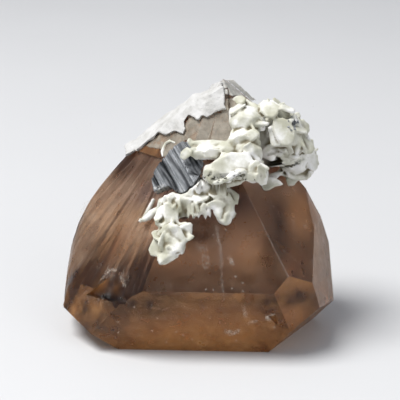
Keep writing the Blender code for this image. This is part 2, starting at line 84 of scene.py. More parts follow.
# Tint of the stone's surface, from its base to the height given, and towards its left and right ends. Its
# light orange foot is painted light that comes through the base, and its dark upper stops are painted shade,
# both over the stone's own brown
TINT_HEIGHT = 40 * MM
TINT_UNEVENNESS = 1.6 * MM
TINT_NOISE = 110
TINT_STOPS = [(0.02, (1.0, 0.56, 0.24)), (0.17, (0.84, 0.48, 0.22)), (0.33, (0.50, 0.30, 0.16)),
              (0.37, (0.62, 0.56, 0.62)), (0.5, (0.46, 0.41, 0.47)), (0.62, (0.27, 0.22, 0.24)),
              (0.76, (0.24, 0.18, 0.17)), (0.9, (0.7, 0.62, 0.52))]
LEFT_TINT = (0.92, 0.70, 0.46)
LEFT_ZONE = (-21 * MM, -9 * MM)
RIGHT_TINT = (0.52, 0.31, 0.15)
RIGHT_ZONE = (13 * MM, 18 * MM)
STREAK_TINT = (0.60, 0.42, 0.34)
STREAK_SPAN = (0.45, 1.0)

# Soft zones of painted shade, painted light and painted warm light on the stone's front: middle and half sizes
# in pixels, and strength
SHADE_TINT = (0.024, 0.011, 0.007)
SHADE_ZONES = [((200, 230), (22, 14), 1.2), ((234, 204), (28, 20), 0.95), ((278, 212), (16, 30), 0.9),
               ((281, 246), (7, 26), 0.5), ((150, 308), (28, 12), 1.3), ((212, 300), (75, 6), 0.5),
               ((262, 304), (24, 9), 0.5), ((298, 296), (22, 14), 1.1), ((108, 297), (14, 7), 0.8),
               ((86, 312), (22, 12), 0.9), ((328, 240), (10, 50), 0.8), ((150, 285), (30, 20), 0.5),
               ((205, 246), (40, 16), 0.3)]
GLOW_TINT = (1.0, 0.86, 0.70)
GLOW_ZONES = [((264, 272), (24, 18), 1.2), ((205, 283), (70, 8), 0.6), ((304, 262), (18, 34), 0.6),
              ((128, 216), (24, 14), 0.8), ((84, 215), (10, 28), 0.6)]
WARM_LIGHT_TINT = (1.0, 0.58, 0.20)
WARM_LIGHT_ZONES = [((190, 345), (100, 9), 1.0), ((258, 334), (36, 12), 0.7), ((84, 306), (22, 18), 0.9),
              ((312, 310), (14, 10), 0.5), ((228, 300), (60, 8), 0.5), ((100, 288), (20, 14), 0.7)]

# Marks that the photograph shows in the stone, made of fine grains on its surface: a path in pixels, and in
# pixels their spread about it, then their number, and in millimetres the range of their sizes
PALE_MARKS = [
    # upright lines near the left, and the beaded tube in the middle
    ([(128, 262), (128.4, 298)], 0.4, 90, (0.06, 0.13)),
    ([(134, 266), (133.6, 297)], 0.4, 70, (0.06, 0.12)),
    ([(146.5, 264), (146.8, 291)], 0.4, 70, (0.06, 0.12)),
    ([(158, 280), (158, 292)], 0.4, 30, (0.06, 0.12)),
    ([(166, 281), (166, 291)], 0.4, 30, (0.06, 0.12)),
    ([(170, 280), (170.4, 292)], 0.4, 30, (0.06, 0.12)),
    ([(216, 225), (221, 250), (222, 280), (224, 300)], 0.7, 420, (0.07, 0.15)),
    ([(217, 230), (220.5, 250), (221, 268)], 1.9, 300, (0.07, 0.16)),
    # soft veils
    ([(197, 246), (205, 250)], 2.2, 260, (0.06, 0.13)),
    ([(203, 255), (208, 257), (208.6, 265), (205, 269), (202.6, 262), (203, 255)], 0.8, 320, (0.07, 0.14)),
    ([(230, 257.5), (232.6, 265)], 1.3, 200, (0.07, 0.14)),
    ([(186, 232), (214, 246), (232, 240)], 7.0, 300, (0.05, 0.10)),
    # the worn ridge with a painted highlight along it, and the narrow facet at the right
    ([(290, 280), (270, 240), (258, 215), (249, 198)], 0.35, 620, (0.06, 0.12)),
    ([(303, 186), (313, 215), (318, 250), (322, 286)], 0.8, 420, (0.07, 0.14)),
    ([(270, 200), (300, 250)], 0.6, 120, (0.05, 0.11)),
    ([(283, 250), (325, 285)], 0.6, 130, (0.05, 0.11)),
    ([(294, 215), (294, 232)], 1.8, 120, (0.07, 0.15)),
    ([(305, 224), (305, 227)], 1.6, 60, (0.07, 0.15)),
    ([(313, 258), (313, 265)], 1.3, 90, (0.07, 0.15)),
]
LOWER_MARKS = [
    # wavy streaks and crack in the lower face
    ([(150, 307), (165, 309.5), (180, 305.5), (195, 310.5), (212, 306.5)], 0.8, 260, (0.06, 0.12)),
    ([(152, 316), (170, 319), (188, 315.5)], 0.9, 150, (0.06, 0.12)),
    ([(226, 331), (232, 333.5), (240, 330)], 1.4, 260, (0.10, 0.20)),
    ([(243, 305), (246, 318)], 1.0, 180, (0.08, 0.16)),
    ([(267, 318.5), (273.5, 316)], 1.3, 420, (0.10, 0.22)),
    ([(248, 323), (257, 321)], 0.8, 150, (0.08, 0.18)),
    # painted glints of the broken surface about the chip
    ([(95, 285), (103, 277), (110, 270), (118, 270), (123, 281), (128, 292)], 0.9, 420, (0.08, 0.18)),
    ([(100, 268), (124, 277)], 4.0, 420, (0.08, 0.2)),
    ([(84, 296), (98, 300), (112, 296)], 4.0, 200, (0.07, 0.15)),
]
PALE_DOTS = [(213, 234.4), (225.5, 229.8), (200, 248), (206, 263), (231, 262), (235, 276), (206, 289),
             (213, 290), (232, 288), (243, 283), (243, 291), (109, 232), (106, 237), (123, 262)]
LOWER_DOTS = [(220, 322), (192, 339), (152, 331), (157, 318), (134, 307), (118, 322), (118, 332), (176, 332),
              (183, 335), (274, 327), (210, 318), (236, 340), (166, 342)]
DOT = (0.55, 16, (0.09, 0.18))
GOLD_MARKS = [
    ([(147, 216), (140, 236), (134, 256)], 4.5, 2200, (0.05, 0.11)),
    ([(118, 222), (132, 214), (146, 207)], 4.0, 1500, (0.05, 0.11)),
    ([(88, 202), (80, 240)], 3.0, 900, (0.05, 0.11)),
    ([(100, 250), (118, 246)], 7.0, 700, (0.05, 0.11)),
]

# Areas of thin pale crust on the stone, outlined in pixels
WINDOW_AREA = [(183, 141), (183, 127), (188, 114), (199, 119), (209, 113), (221, 112), (222, 100), (231, 97),
               (237, 101), (237, 122), (232, 143), (205, 142)]
PEAK_AREA = [(221, 80), (233, 79), (258, 101), (249, 101), (246, 97.5), (231, 96), (221, 93)]
STRIP_AREA = [(139, 145), (147, 136), (160, 131), (183, 132), (186, 143), (180, 150), (172, 158), (163, 157),
              (160, 149), (150, 148)]

# The growth ridges of the rounded sides fan out from a point near the peak. Their noise is in layers: waves
# across and along the ridges, a shift that sets the layers apart, and a strength
BODY_CENTRE = Vector((-0.4, 0.1, 15.0)) * MM
FAN_POINT = Vector((4.1, 4.1, 50.0)) * MM
FAN_AXIS = (FAN_POINT - BODY_CENTRE).normalized()
RIDGE_LAYERS = [(9, 1.6, 3.1, 0.26 * MM), (27, 3.5, 8.4, 0.08 * MM), (70, 9, 1.7, 0.03 * MM)]
RIDGE_FADE = 0.9 * MM  # the ridges die out over this distance from a plane face
STREAK_LAYERS = [(7, 2.6, 12.5, 0.8), (30, 3.2, 4.4, 0.25)]
BLOOM_LAYERS = [(4, 3.4, 31.5, 0.50), (46, 4.0, 6.6, 0.12), (130, 7.0, 9.6, 0.10)]

# Mesh of the stone
FLAT_AREA = 45 * MM ** 2  # a plane patch larger than this is a crystal face, and stays plane
FLAT_ANGLE = math.radians(0.15)
WELD = 0.002 * MM
EDGE_WEAR = 0.14 * MM
GROWTH_EDGE = 0.6 * MM
FLAT_EDGE = 1.2 * MM
HALVINGS = 9  # the most rounds that halve the edges
TERRACE_ROUNDS = 5

# Films on the stone: dusty bloom that is partly a painted sheen, and a warm brown film of painted light on the
# low faces, with soft zones as above
FILM_THICKNESS = 0.02 * MM
FILM_LIFT = 0.03 * MM
COVER_SPAN = (0.1, 1.0)
BLOOM_STREAKY = 0.30
BLOOM_RIGHT = 0.6
PLAIN_DUST_AND_SHEEN = 0.17
BLOOM_ZONES = [((108, 290), (26, 18), -1.0), ((84, 300), (18, 22), -0.8), ((128, 216), (22, 13), 0.35),
               ((103, 228), (12, 20), -0.12), ((79, 250), (7, 24), 0.25)]
# Painted warm light on the low faces: its plain density and its soft zones
BASE_LIGHT_PLAIN = 0.22
BASE_LIGHT_ZONES = [((86, 314), (26, 14), 0.04), ((205, 345), (60, 6), 0.3), ((262, 322), (14, 8), 0.15)]
RIGHT_SIDE = (78, 14)  # azimuth and tilt of the narrow face at the right, and of the low one at the left
LOW_LEFT_SIDE = (-51, 17)
SIDE_LIKENESS = 0.94  # cosine of the angle within which a face counts as one of these
BASE_SLOPE = -0.9  # below this a face belongs to the base
LOW_SLOPE = -0.1

# Crusts and grains
CRUST_STEP = 0.8  # pixels
CRUST_RAGGEDNESS = 1.2  # pixels
CRUST_WAVES = 0.35  # per pixel
CRUST_BREAK = 0.7 * MM  # a crust has no face across a step longer than this
CRUST_NOISE = (700, 2400)
MARK_LIFT = 0.05 * MM
MARK_REACH = 3.0 * MM  # marks farther than this from the stone are left out
HAZE_DEPTH = 0.5 * MM
OPEN_DEPTH = 1.1 * MM  # where a line of sight that passes the stone is stopped

# Minerals on the stone
ALBITE_VOXEL = 0.215 * MM
COATING_VOXEL = 0.16 * MM
TABLET_VOXEL = 0.11 * MM
TABLET_FACING = (-20, 30)
GROOVE_SLOPE = -61  # degrees from level, along the tablet's striations
# The striations' noise: features per metre across and along them, and a shift
SWAY_WAVES = (200, 260, 7.7)
BROAD_GROOVES = (620, 110, 2.2)
FINE_GROOVES = (2300, 300, 5.1)
GROOVE_SWAY = 0.25 * MM
BROAD_HEIGHT = 0.10 * MM
FINE_HEIGHT = 0.07 * MM
DUST_NOISE = 2200
DUST_ZONES = [((161, 190), (8, 6), 1.0), ((178, 193), (9, 4), 0.7), ((170, 146), (10, 4), 0.4)]
BLADE_BEVEL = 0.22 * MM
SMOOTHING_ROUNDS = 2
# How near the stone a mineral is drawn to it, how deep it sinks there, and the deepest that it may lie
ALBITE_SETTLING = (1.3 * MM, 0.5 * MM, 0.3 * MM)
COATING_SETTLING = (2.2 * MM, 0.75 * MM, 0.12 * MM)
TABLET_SETTLING = (0.9 * MM, 0.45 * MM, 0.2 * MM)
# Layers of relief: features per metre and height
ALBITE_RELIEF = [(500, 0.10 * MM), (2600, 0.02 * MM)]
COATING_RELIEF = [(420, 0.22 * MM), (1300, 0.12 * MM), (3600, 0.05 * MM)]
# Hollows, which the albite's and the coating's materials darken as painted shade: rounds of smoothing that
# they are measured from, and the depth that counts as full
ALBITE_HOLLOWS = (24, 0.22 * MM)
COATING_HOLLOWS = (16, 0.1 * MM)
# Small blades of albite: lengths and thicknesses in millimetres, and widths in shares of the length
SPRIG_COUNT = 150
SPRIG_LENGTHS = (1.8, 3.8)
SPRIG_WIDTHS = (0.55, 0.9)
SPRIG_THICKNESSES = (0.3, 0.55)
SPRIG_SCATTER = (0.85, 1.1)
SPRIG_BEVEL = 0.12 * MM
SPRIG_CLEARANCE = 0.7 * MM
SPRIG_TILT = 0.45

FLOOR_GAP = 0.02 * MM

# Blades of albite as the photograph shows them: outline in pixels, facing (azimuth, tilt), and in millimetres
# the lift of the middle off the stone and the thickness
ALBITE_BLADES = [
    # hanging pair
    ([(212, 194), (213, 206), (213, 213), (217.5, 220), (222, 224.5), (226, 226), (231, 224), (233, 218),
      (235.5, 212.5), (232, 201), (230.5, 194), (223, 191)], (-5, 20), 1.4, 0.8),
    ([(212, 192), (213, 203), (216, 214), (219, 219.5), (222, 214), (223.5, 204), (224, 192)],
     (-5, 20), 2.0, 0.6),
    # the two leaves at the foot of the tongue, and the beak under them
    ([(164, 234), (172, 226), (180, 222.5), (185.5, 221), (189, 224), (192, 229), (192.4, 233),
      (190.5, 238.5), (186, 244), (181, 250), (172, 256), (165, 250)], (15, 25), 1.2, 0.8),
    ([(148, 250), (150.5, 244), (153, 240), (157, 236.5), (162, 233.5), (166, 232.5), (170, 234), (175, 238),
      (181, 244), (180.5, 251), (172, 254), (165, 254), (156, 257), (150, 256.5)], (-20, 30), 1.7, 0.8),
    ([(156.5, 255.5), (157.5, 260.5), (160, 265), (163, 263), (166.5, 260), (173, 256), (180.5, 251.3),
      (177, 250.6), (171, 251.5), (166, 253.5)], (-5, 45), 2.0, 0.7),
    # curled group above them, and the needle at its left
    ([(140, 221), (150, 210), (157, 205.5), (165, 203.5), (164, 209), (157, 213), (150, 219.5), (145, 222)],
     (-25, 30), 1.7, 0.8),
    ([(163, 203), (170, 202.5), (176, 206), (179, 214), (179, 224), (174, 226.5), (168, 224), (164, 219),
      (163.5, 213)], (15, 25), 1.9, 0.9),
    ([(154, 224.5), (160, 222.5), (168, 223), (175, 225), (170, 228), (160, 227.5)], (0, 50), 1.9, 0.8),
    ([(152.6, 197.5), (155, 199), (148.5, 212), (143, 220), (139.5, 223.5), (138.5, 222.5), (143, 213)],
     (-45, 20), 1.0, 0.6),
    ([(175, 200), (182, 197), (191, 198), (192, 208), (190, 217), (183, 220), (177, 217)], (0, -5), 1.0, 0.7),
    # comb and its side spike
    ([(187.5, 203), (189.8, 203), (189.5, 219), (187.8, 219)], (-10, 20), 1.4, 0.5),
    ([(191.3, 203), (193.6, 203), (193.2, 221), (191.7, 221)], (10, 20), 1.5, 0.5),
    ([(194.4, 202), (196.8, 202), (196.2, 217.5), (194.8, 217)], (-10, 20), 1.4, 0.5),
    ([(197.6, 201), (200, 201), (199.3, 221), (198, 220.5)], (10, 20), 1.5, 0.5),
    ([(201, 200), (203.2, 200), (202.6, 215), (201.4, 214.5)], (-10, 20), 1.4, 0.5),
    ([(204, 203.5), (210, 203), (213.2, 205), (209, 207.5), (203.5, 208)], (0, 30), 1.5, 0.6),
    # ridge over the big front mass, and the wing and blade at its right
    ([(211.5, 182.5), (217, 180), (223.5, 178), (228, 174.5), (231.5, 171.5), (237, 169.8), (243, 169.2),
      (247, 171), (243, 174), (236, 176.5), (229, 181), (221, 184.5), (214, 185)], (0, 50), 3.3, 0.9),
    ([(257, 179.5), (262, 177.5), (269, 176.5), (276, 178), (280.5, 181), (283.8, 184.6), (280, 186.2),
      (275, 187), (270, 190.5), (264, 190), (258.5, 187)], (-10, 25), 2.6, 0.7),
    ([(265.5, 177), (268.5, 174), (274, 172), (279, 171.2), (283.5, 172), (281.5, 175), (277, 179),
      (272, 179.5)], (-5, 35), 3.0, 0.7),
    # large plates of the right mass
    ([(255, 145.5), (259.5, 146), (266, 149), (272, 152.5), (275.5, 156), (276, 160), (271, 162), (265, 159),
      (259.5, 155.5), (255.5, 150)], (-25, 35), 5.4, 0.7),
    ([(254, 136), (258.5, 131), (264.5, 128.3), (271, 128), (277, 130.5), (281, 135), (281.5, 141),
      (278, 147), (271.5, 151), (264, 149), (257.5, 145), (253.5, 141)], (-12, 28), 7.2, 0.9),
    ([(272, 121), (277, 117.5), (283.5, 117.5), (289, 121), (294, 128), (295.5, 136), (294, 143), (288, 147),
      (281, 146), (277, 140), (273, 130)], (10, 25), 8.8, 0.9),
    ([(259, 103.5), (266, 102), (274, 102.5), (279, 106), (279, 114), (274, 119), (266, 118), (260, 111)],
     (0, 50), 7.0, 0.9),
    ([(280, 104), (287, 105.3), (293, 108), (295.6, 110.5), (294, 114), (287, 112.5), (280, 110)],
     (15, 45), 7.0, 0.8),
    ([(248, 122), (258, 121.5), (270, 122.5), (268, 126), (256, 126.5), (248, 125)], (0, 60), 6.5, 0.8),
    ([(231, 99), (236, 95.5), (243, 95.5), (247, 99), (245, 104), (237, 105)], (-10, 45), 3.0, 0.8),
    # lobes at the outer right
    ([(300, 137), (307, 138), (313, 143), (314.8, 149), (312, 154), (305, 154.5), (300, 149)],
     (25, 25), 7.2, 0.8),
    ([(308, 153), (314.5, 155), (317.5, 163), (317.5, 169), (313, 173), (308, 168), (307, 160)],
     (35, 20), 6.0, 0.8),
    ([(284, 166), (293, 164), (303, 164.5), (310, 170), (312, 176), (306, 180.5), (296, 181), (287, 178)],
     (15, 10), 5.4, 0.9),
    ([(284, 161), (291, 158.5), (300, 160), (303, 162), (297, 163.5), (289, 163.8)], (10, 50), 7.0, 0.6),
    # small arch above the tablet
    ([(160.5, 157), (159.5, 151), (161.5, 145), (165, 140.5), (167, 142.5), (164.5, 147), (163, 152),
      (163.5, 157)], (-40, 32), 0.5, 0.5),
    ([(163.5, 142), (169, 138.5), (175.5, 141), (174.5, 144), (169.5, 142), (166, 144)], (-40, 32), 0.6, 0.5),
]
# Ribs at the right, the same one over and over
RIB_OUTLINE = [(278, 150), (285, 147.5), (294, 146.5), (300, 149), (296, 151.5), (286, 152.5)]
RIB_COUNT = 4
RIB_PITCH = (0.6, 4.3)  # pixels from one rib to the next
RIB_PLACE = ((10, 45), 8.2, 0.6)
ALBITE_BLADES += [([(x + RIB_PITCH[0] * rib, y + RIB_PITCH[1] * rib) for x, y in RIB_OUTLINE], *RIB_PLACE)
                  for rib in range(RIB_COUNT)]
# A small blade, in shares of its length and width
SPRIG_OUTLINE = [(-0.6, 0.1), (-0.35, 0.45), (0.3, 0.5), (0.6, 0.12), (0.35, -0.45), (-0.3, -0.5)]


def line_of_sight(pixel):
    """Direction from the camera through a pixel."""
    half = IMAGE_SIZE / 2
    reach = LENS / SENSOR * IMAGE_SIZE
    return (FORWARD * reach + RIGHT * (pixel[0] - half) + UP * (half - pixel[1])).normalized()


def face_normal(azimuth, tilt):
    """Unit normal of a face: azimuth 0 looks to -Y and 90 to +X, tilt 90 looks up."""
    around = math.radians(azimuth)
    up = math.radians(tilt)
    return Vector((math.sin(around) * math.cos(up), -math.cos(around) * math.cos(up), math.sin(up)))


def tree_of(obj):
    """The faces of an object, to be met by lines."""
    return BVHTree.FromObject(obj, bpy.context.evaluated_depsgraph_get())


STONE_TREE = tree_of(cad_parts["topaz_crystal"])


def seen_place(pixel, lift=0.0, tree=STONE_TREE):
    """The point of the stone, or of another tree of faces, seen at a pixel, lifted towards the camera."""
    direction = line_of_sight(pixel)
    hit = tree.ray_cast(CAMERA_PLACE, direction)[0]
    if hit is None:
        hit = CAMERA_PLACE + direction * ((OPEN_DEPTH - CAMERA_PLACE.y) / direction.y)
    return hit - direction * lift


def above_stone(place):
    """Distance of a place from the stone, below zero inside it, and the nearest surface point and normal."""
    nearest, normal = STONE_TREE.find_nearest(place)[:2]
    offset = place - nearest
    distance = offset.length
    return (distance if offset.dot(normal) > 0 else -distance), nearest, normal


def new_object(name, data):
    obj = bpy.data.objects.new(name, data)
    bpy.context.scene.collection.objects.link(obj)
    return obj


def object_from_bmesh(name, bm):
    mesh = bpy.data.meshes.new(name)
    bm.to_mesh(mesh)
    bm.free()
    return new_object(name, mesh)


def object_from_lists(name, vertices, faces):
    mesh = bpy.data.meshes.new(name)
    mesh.from_pydata(vertices, [], faces)
    return new_object(name, mesh)


def read_rows(items, name, width, kind=float):
    """The values that mesh items have under a name, with one row for each item."""
    values = np.empty(len(items) * width, dtype=kind)
    items.foreach_get(name, values)
    return values.reshape(-1, width)


def coordinates(mesh):
    return read_rows(mesh.vertices, "co", 3)


def normals(mesh):
    return read_rows(mesh.vertex_normals, "vector", 3, np.float32).astype(float)


def edge_pairs(mesh):
    return read_rows(mesh.edges, "vertices", 2, np.int32)


def set_coordinates(mesh, points):
    mesh.vertices.foreach_set("co", points.ravel())
    mesh.update()


def write_attribute(mesh, name, values):
    values = np.asarray(values, dtype=np.float32)
    mesh.attributes.new(name, "FLOAT", "POINT").data.foreach_set("value", values)


def shade_smooth(mesh):
    for polygon in mesh.polygons:
        polygon.use_smooth = True


def smoothed(points, pairs, rounds, free=None):
    """Points, or the free ones of them, after some rounds of averaging with their neighbours."""
    count = np.bincount(pairs.ravel(), minlength=len(points))[:, None]
    for _ in range(rounds):
        total = np.zeros_like(points)
        np.add.at(total, pairs[:, 0], points[pairs[:, 1]])
        np.add.at(total, pairs[:, 1], points[pairs[:, 0]])
        moved = (points + total / np.maximum(count, 1)) / 2
        points = moved if free is None else np.where(free[:, None], moved, points)
    return points


def applied(obj, kind, **settings):
    """Apply a modifier with these settings to an object."""
    modifier = obj.modifiers.new(kind.lower(), kind)
    for key, value in settings.items():
        setattr(modifier, key, value)
    bpy.context.view_layer.update()
    mesh = bpy.data.meshes.new_from_object(obj.evaluated_get(bpy.context.evaluated_depsgraph_get()))
    obj.modifiers.clear()
    obj.data = mesh
    return obj


def joined(name, objects):
    """One object with the meshes of several."""
    bm = bmesh.new()
    for obj in objects:
        bm.from_mesh(obj.data)
        bpy.data.objects.remove(obj)
    return object_from_bmesh(name, bm)


# Materials

NOISE_ROUGHNESS = 0.55
GRAIN_NOISE = 4200


def new_material(name):
    """A material with its node list and its Principled shader."""
    material = bpy.data.materials.new(name)
    material.use_nodes = True
    return material, material.node_tree, material.node_tree.nodes["Principled BSDF"]


def feed(node, inputs):
    """Link a node's inputs to sockets, or set them to plain values."""
    for key, value in inputs.items():
        if isinstance(value, bpy.types.NodeSocket):
            node.id_data.links.new(value, node.inputs[key])
        else:
            node.inputs[key].default_value = value


def output_of(tree, kind, output, inputs):
    """The named output of a new node with these inputs."""
    node = tree.nodes.new("ShaderNode" + kind)
    feed(node, inputs)
    return node.outputs[output]


def noise_node(tree, scale, detail=4.0, stretch=(1, 1, 1)):
    """Noise over object coordinates, with features about 1/scale metres wide."""
    place = output_of(tree, "TexCoord", "Object", {})
    place = output_of(tree, "Mapping", "Vector", {"Vector": place, "Scale": stretch})
    return output_of(tree, "TexNoise", "Fac", {
        "Vector": place, "Scale": scale, "Detail": detail, "Roughness": NOISE_ROUGHNESS})


def ramp_node(tree, factor, stops):
    """Colours along a factor: stops holds (position, colour) pairs."""
    ramp = tree.nodes.new("ShaderNodeValToRGB")
    while len(ramp.color_ramp.elements) < len(stops):
        ramp.color_ramp.elements.new(0.5)
    for element, (position, colour) in zip(ramp.color_ramp.elements, stops):
        element.position = position
        element.color = (*colour, 1.0)
    feed(ramp, {"Fac": factor})
    return ramp.outputs["Color"]


def range_node(tree, factor, low, high, span=(0.3, 0.7)):
    """A factor spread over a range, which it crosses while it grows over its span."""
    return output_of(tree, "MapRange", "Result", {
        "Value": factor, "From Min": span[0], "From Max": span[1], "To Min": low, "To Max": high})


def bump_node(tree, height, distance, strength=1.0, under=None):
    inputs = {"Height": height, "Distance": distance, "Strength": strength}
    if under is not None:
        inputs["Normal"] = under
    return output_of(tree, "Bump", "Normal", inputs)


def mixed(tree, factor, colour, other):
    """A colour that turns to another, plain one as the factor grows."""
    mix = tree.nodes.new("ShaderNodeMix")
    mix.data_type = "RGBA"
    feed(mix, {"Factor": factor})
    first, second = [socket for socket in mix.inputs if socket.type == "RGBA"]
    tree.links.new(colour, first)
    second.default_value = (*other, 1.0)
    return [socket for socket in mix.outputs if socket.type == "RGBA"][0]


def summed(tree, first, second):
    return output_of(tree, "Math", "Value", {0: first, 1: second})


def attribute_node(tree, name):
    reader = tree.nodes.new("ShaderNodeAttribute")
    reader.attribute_name = name
    return reader.outputs["Fac"]


def marked(tree, colour, mark):
    """A colour that turns to another where an attribute is high: a mark holds its name, colour and span."""
    attribute, other, span = mark
    return mixed(tree, range_node(tree, attribute_node(tree, attribute), 0.0, 1.0, span), colour, other)


def topaz_material():
    """Clear brown stone: plain transmission, with absorption along the way."""
    material, tree, shader = new_material("topaz")
    place = tree.nodes.new("ShaderNodeSeparateXYZ")
    feed(place, {"Vector": output_of(tree, "TexCoord", "Object", {})})
    uneven = range_node(tree, noise_node(tree, TINT_NOISE), -TINT_UNEVENNESS, TINT_UNEVENNESS)
    height = range_node(tree, summed(tree, place.outputs["Z"], uneven), 0.0, 1.0, (0.0, TINT_HEIGHT))
    side = range_node(tree, summed(tree, place.outputs["X"], uneven), 1.0, 0.0, LEFT_ZONE)
    tint = mixed(tree, side, ramp_node(tree, height, TINT_STOPS), LEFT_TINT)
    tint = mixed(tree, range_node(tree, place.outputs["X"], 0.0, 1.0, RIGHT_ZONE), tint, RIGHT_TINT)
    tint = marked(tree, tint, ("streak", STREAK_TINT, STREAK_SPAN))
    # Painted light, painted warm light and painted shade of the front, from their zones
    for attribute, other in (("glow", GLOW_TINT), ("warm_light", WARM_LIGHT_TINT), ("shade", SHADE_TINT)):
        tint = marked(tree, tint, (attribute, other, (0.0, 1.0)))
    swells = bump_node(tree, noise_node(tree, SWELL_NOISE, detail=2), *SWELL_BUMP)
    striae = noise_node(tree, STRIA_NOISE, detail=3, stretch=STRIA_STRETCH)
    feed(shader, {
        "Transmission Weight": 1.0, "IOR": TOPAZ_IOR, "Base Color": tint,
        "Roughness": range_node(tree, noise_node(tree, BODY_NOISE, detail=6), *BODY_ROUGHNESS),
        "Specular Tint": (*BODY_REFLECTION, 1.0), "Normal": bump_node(tree, striae, *STRIA_BUMP, swells),
        "Coat Weight": COAT_WEIGHT, "Coat Roughness": COAT_ROUGHNESS, "Coat IOR": COAT_IOR})
    absorption = {"Color": (*ABSORPTION_COLOUR, 1.0), "Density": ABSORPTION_DENSITY}
    feed(tree.nodes["Material Output"], {
        "Volume": output_of(tree, "VolumeAbsorption", "Volume", absorption)})
    return material


def mineral_material(name, stops, scale, roughness, relief, subsurface=0.0, metallic=0.0, marks_on=()):
    """An opaque or faintly shining-through mineral with mottled colour and a fine grain."""
    material, tree, shader = new_material(name)
    colour = ramp_node(tree, noise_node(tree, scale), stops)
    for mark in marks_on:
        colour = marked(tree, colour, mark)
    feed(shader, {
        "Base Color": colour, "Roughness": range_node(tree, noise_node(tree, scale * 4), *roughness),
        "Metallic": metallic, "Subsurface Weight": subsurface, "Subsurface Radius": (1.0, 1.0, 0.9),
        "Subsurface Scale": 0.6 * MM, "Normal": bump_node(tree, noise_node(tree, GRAIN_NOISE), relief)})
    return material


def grain_material(name, dark, light, scale, roughness):
    return mineral_material(name, [(0.3, dark), (0.7, light)], scale, roughness, 0.01 * MM)


def film_material(name, dark, light, strength, by_cover=False):
    """A thin crust that lets the stone show through, as dense as noise or the attribute named cover says."""
    material, tree, shader = new_material(name)
    if by_cover:
        dense = range_node(tree, attribute_node(tree, "cover"), 0.0, strength, COVER_SPAN)
    else:
        dense = range_node(tree, noise_node(tree, 900, detail=6), strength * 0.55, strength)
    feed(shader, {
        "Base Color": ramp_node(tree, noise_node(tree, 420), [(0.3, dark), (0.7, light)]), "Roughness": 0.6,
        "Alpha": dense, "Normal": bump_node(tree, noise_node(tree, 3000), 0.02 * MM)})
    return material


# Topaz

def plane_groups(bm):
    """Connected faces that lie in one plane, largest group first."""
    unseen = set(bm.faces)
    groups = []
    while unseen:
        first = unseen.pop()
        group = [first]
        for face in group:
            for edge in face.edges:
                for other in edge.link_faces:
                    if other in unseen and face.normal.angle(other.normal, math.pi) < FLAT_ANGLE:
                        unseen.remove(other)
                        group.append(other)
        groups.append((sum(face.calc_area() for face in group), group))
    groups.sort(key=lambda entry: -entry[0])
    return groups


def number_faces(bm, kind):
    """Give each large plane patch a number of its own, and leave the growth sides at 0."""
    for number, (area, group) in enumerate(plane_groups(bm), start=1):
        if area < FLAT_AREA:
            break
        for face in group:
            face[kind] = number


def numbers_beside(edge, kind):
    return {face[kind] for face in edge.link_faces}


def wear_edges(bm, kind):
    """Make each plane patch one face, and bevel the edges at which two of them meet."""
    worn = [edge for edge in bm.edges if len(numbers_beside(edge, kind)) == 2
            and min(numbers_beside(edge, kind)) > 0 and edge.is_convex]
    inner = [edge for edge in bm.edges if len(numbers_beside(edge, kind)) == 1
             and edge.link_faces[0][kind] > 0]
    bmesh.ops.dissolve_edges(bm, edges=inner, use_verts=False)
    bmesh.ops.bevel(bm, geom=[edge for edge in worn if edge.is_valid], offset=EDGE_WEAR, segments=1,
                    affect="EDGES", clamp_overlap=True)
    bmesh.ops.triangulate(bm, faces=bm.faces[:])


def refine(bm, kind):
    """Halve the long edges, down to a finer mesh on the growth sides than on the plane faces."""
    for _ in range(HALVINGS):
        long_edges = [edge for edge in bm.edges if edge.calc_length() > min(
            FLAT_EDGE if face[kind] else GROWTH_EDGE for face in edge.link_faces)]
        if not long_edges:
            break
        bmesh.ops.subdivide_edges(bm, edges=long_edges, cuts=1)
        bmesh.ops.triangulate(bm, faces=[face for face in bm.faces if len(face.verts) > 3])


def topaz():
    """The stone with worn edges, and with fine growth ridges on its rounded sides."""
    bm = bmesh.new()
    bm.from_mesh(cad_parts["topaz_crystal"].data)
    bmesh.ops.remove_doubles(bm, verts=bm.verts, dist=WELD)
    kind = bm.faces.layers.int.new("flat")
    number_faces(bm, kind)
    wear_edges(bm, kind)
    refine(bm, kind)
    grown = np.array([all(face[kind] == 0 for face in vertex.link_faces) for vertex in bm.verts])
    for face in bm.faces:
        face.smooth = face[kind] == 0
    for edge in bm.edges:
        edge.smooth = len({face[kind] == 0 for face in edge.link_faces}) == 1
    obj = object_from_bmesh("topaz", bm)
    mesh = obj.data
    add_growth_relief(mesh, grown)
    mark_streaks(mesh, grown)
    # Strengths of the zones of painted light, painted warm light and painted shade on the front
    for attribute, zones in (("shade", SHADE_ZONES), ("glow", GLOW_ZONES), ("warm_light", WARM_LIGHT_ZONES)):
        mark_zones(mesh, attribute, zones)
    return obj


def seen_pixel(place):
    """The pixel at which the camera sees a place."""
    offset = place - CAMERA_PLACE
    reach = LENS / SENSOR * IMAGE_SIZE / offset.dot(FORWARD)
    return IMAGE_SIZE / 2 + offset.dot(RIGHT) * reach, IMAGE_SIZE / 2 - offset.dot(UP) * reach


def zone_strength(place, zones):
    """Strength of soft zones at a place: each has its middle and half sizes in pixels, and a strength."""
    x, y = seen_pixel(place)
    return sum(most * math.exp(-((x - middle[0]) / halves[0]) ** 2 - ((y - middle[1]) / halves[1]) ** 2)
               for middle, halves, most in zones)


def mark_zones(mesh, name, zones):
    """Write the strength of soft zones on the front to an attribute."""
    outward = normals(mesh)
    strength = np.zeros(len(outward))
    for index, point in enumerate(coordinates(mesh)):
        place = Vector(point)
        if (place - CAMERA_PLACE).dot(Vector(outward[index])) < 0:
            strength[index] = min(1, zone_strength(place, zones))
    write_attribute(mesh, name, strength)


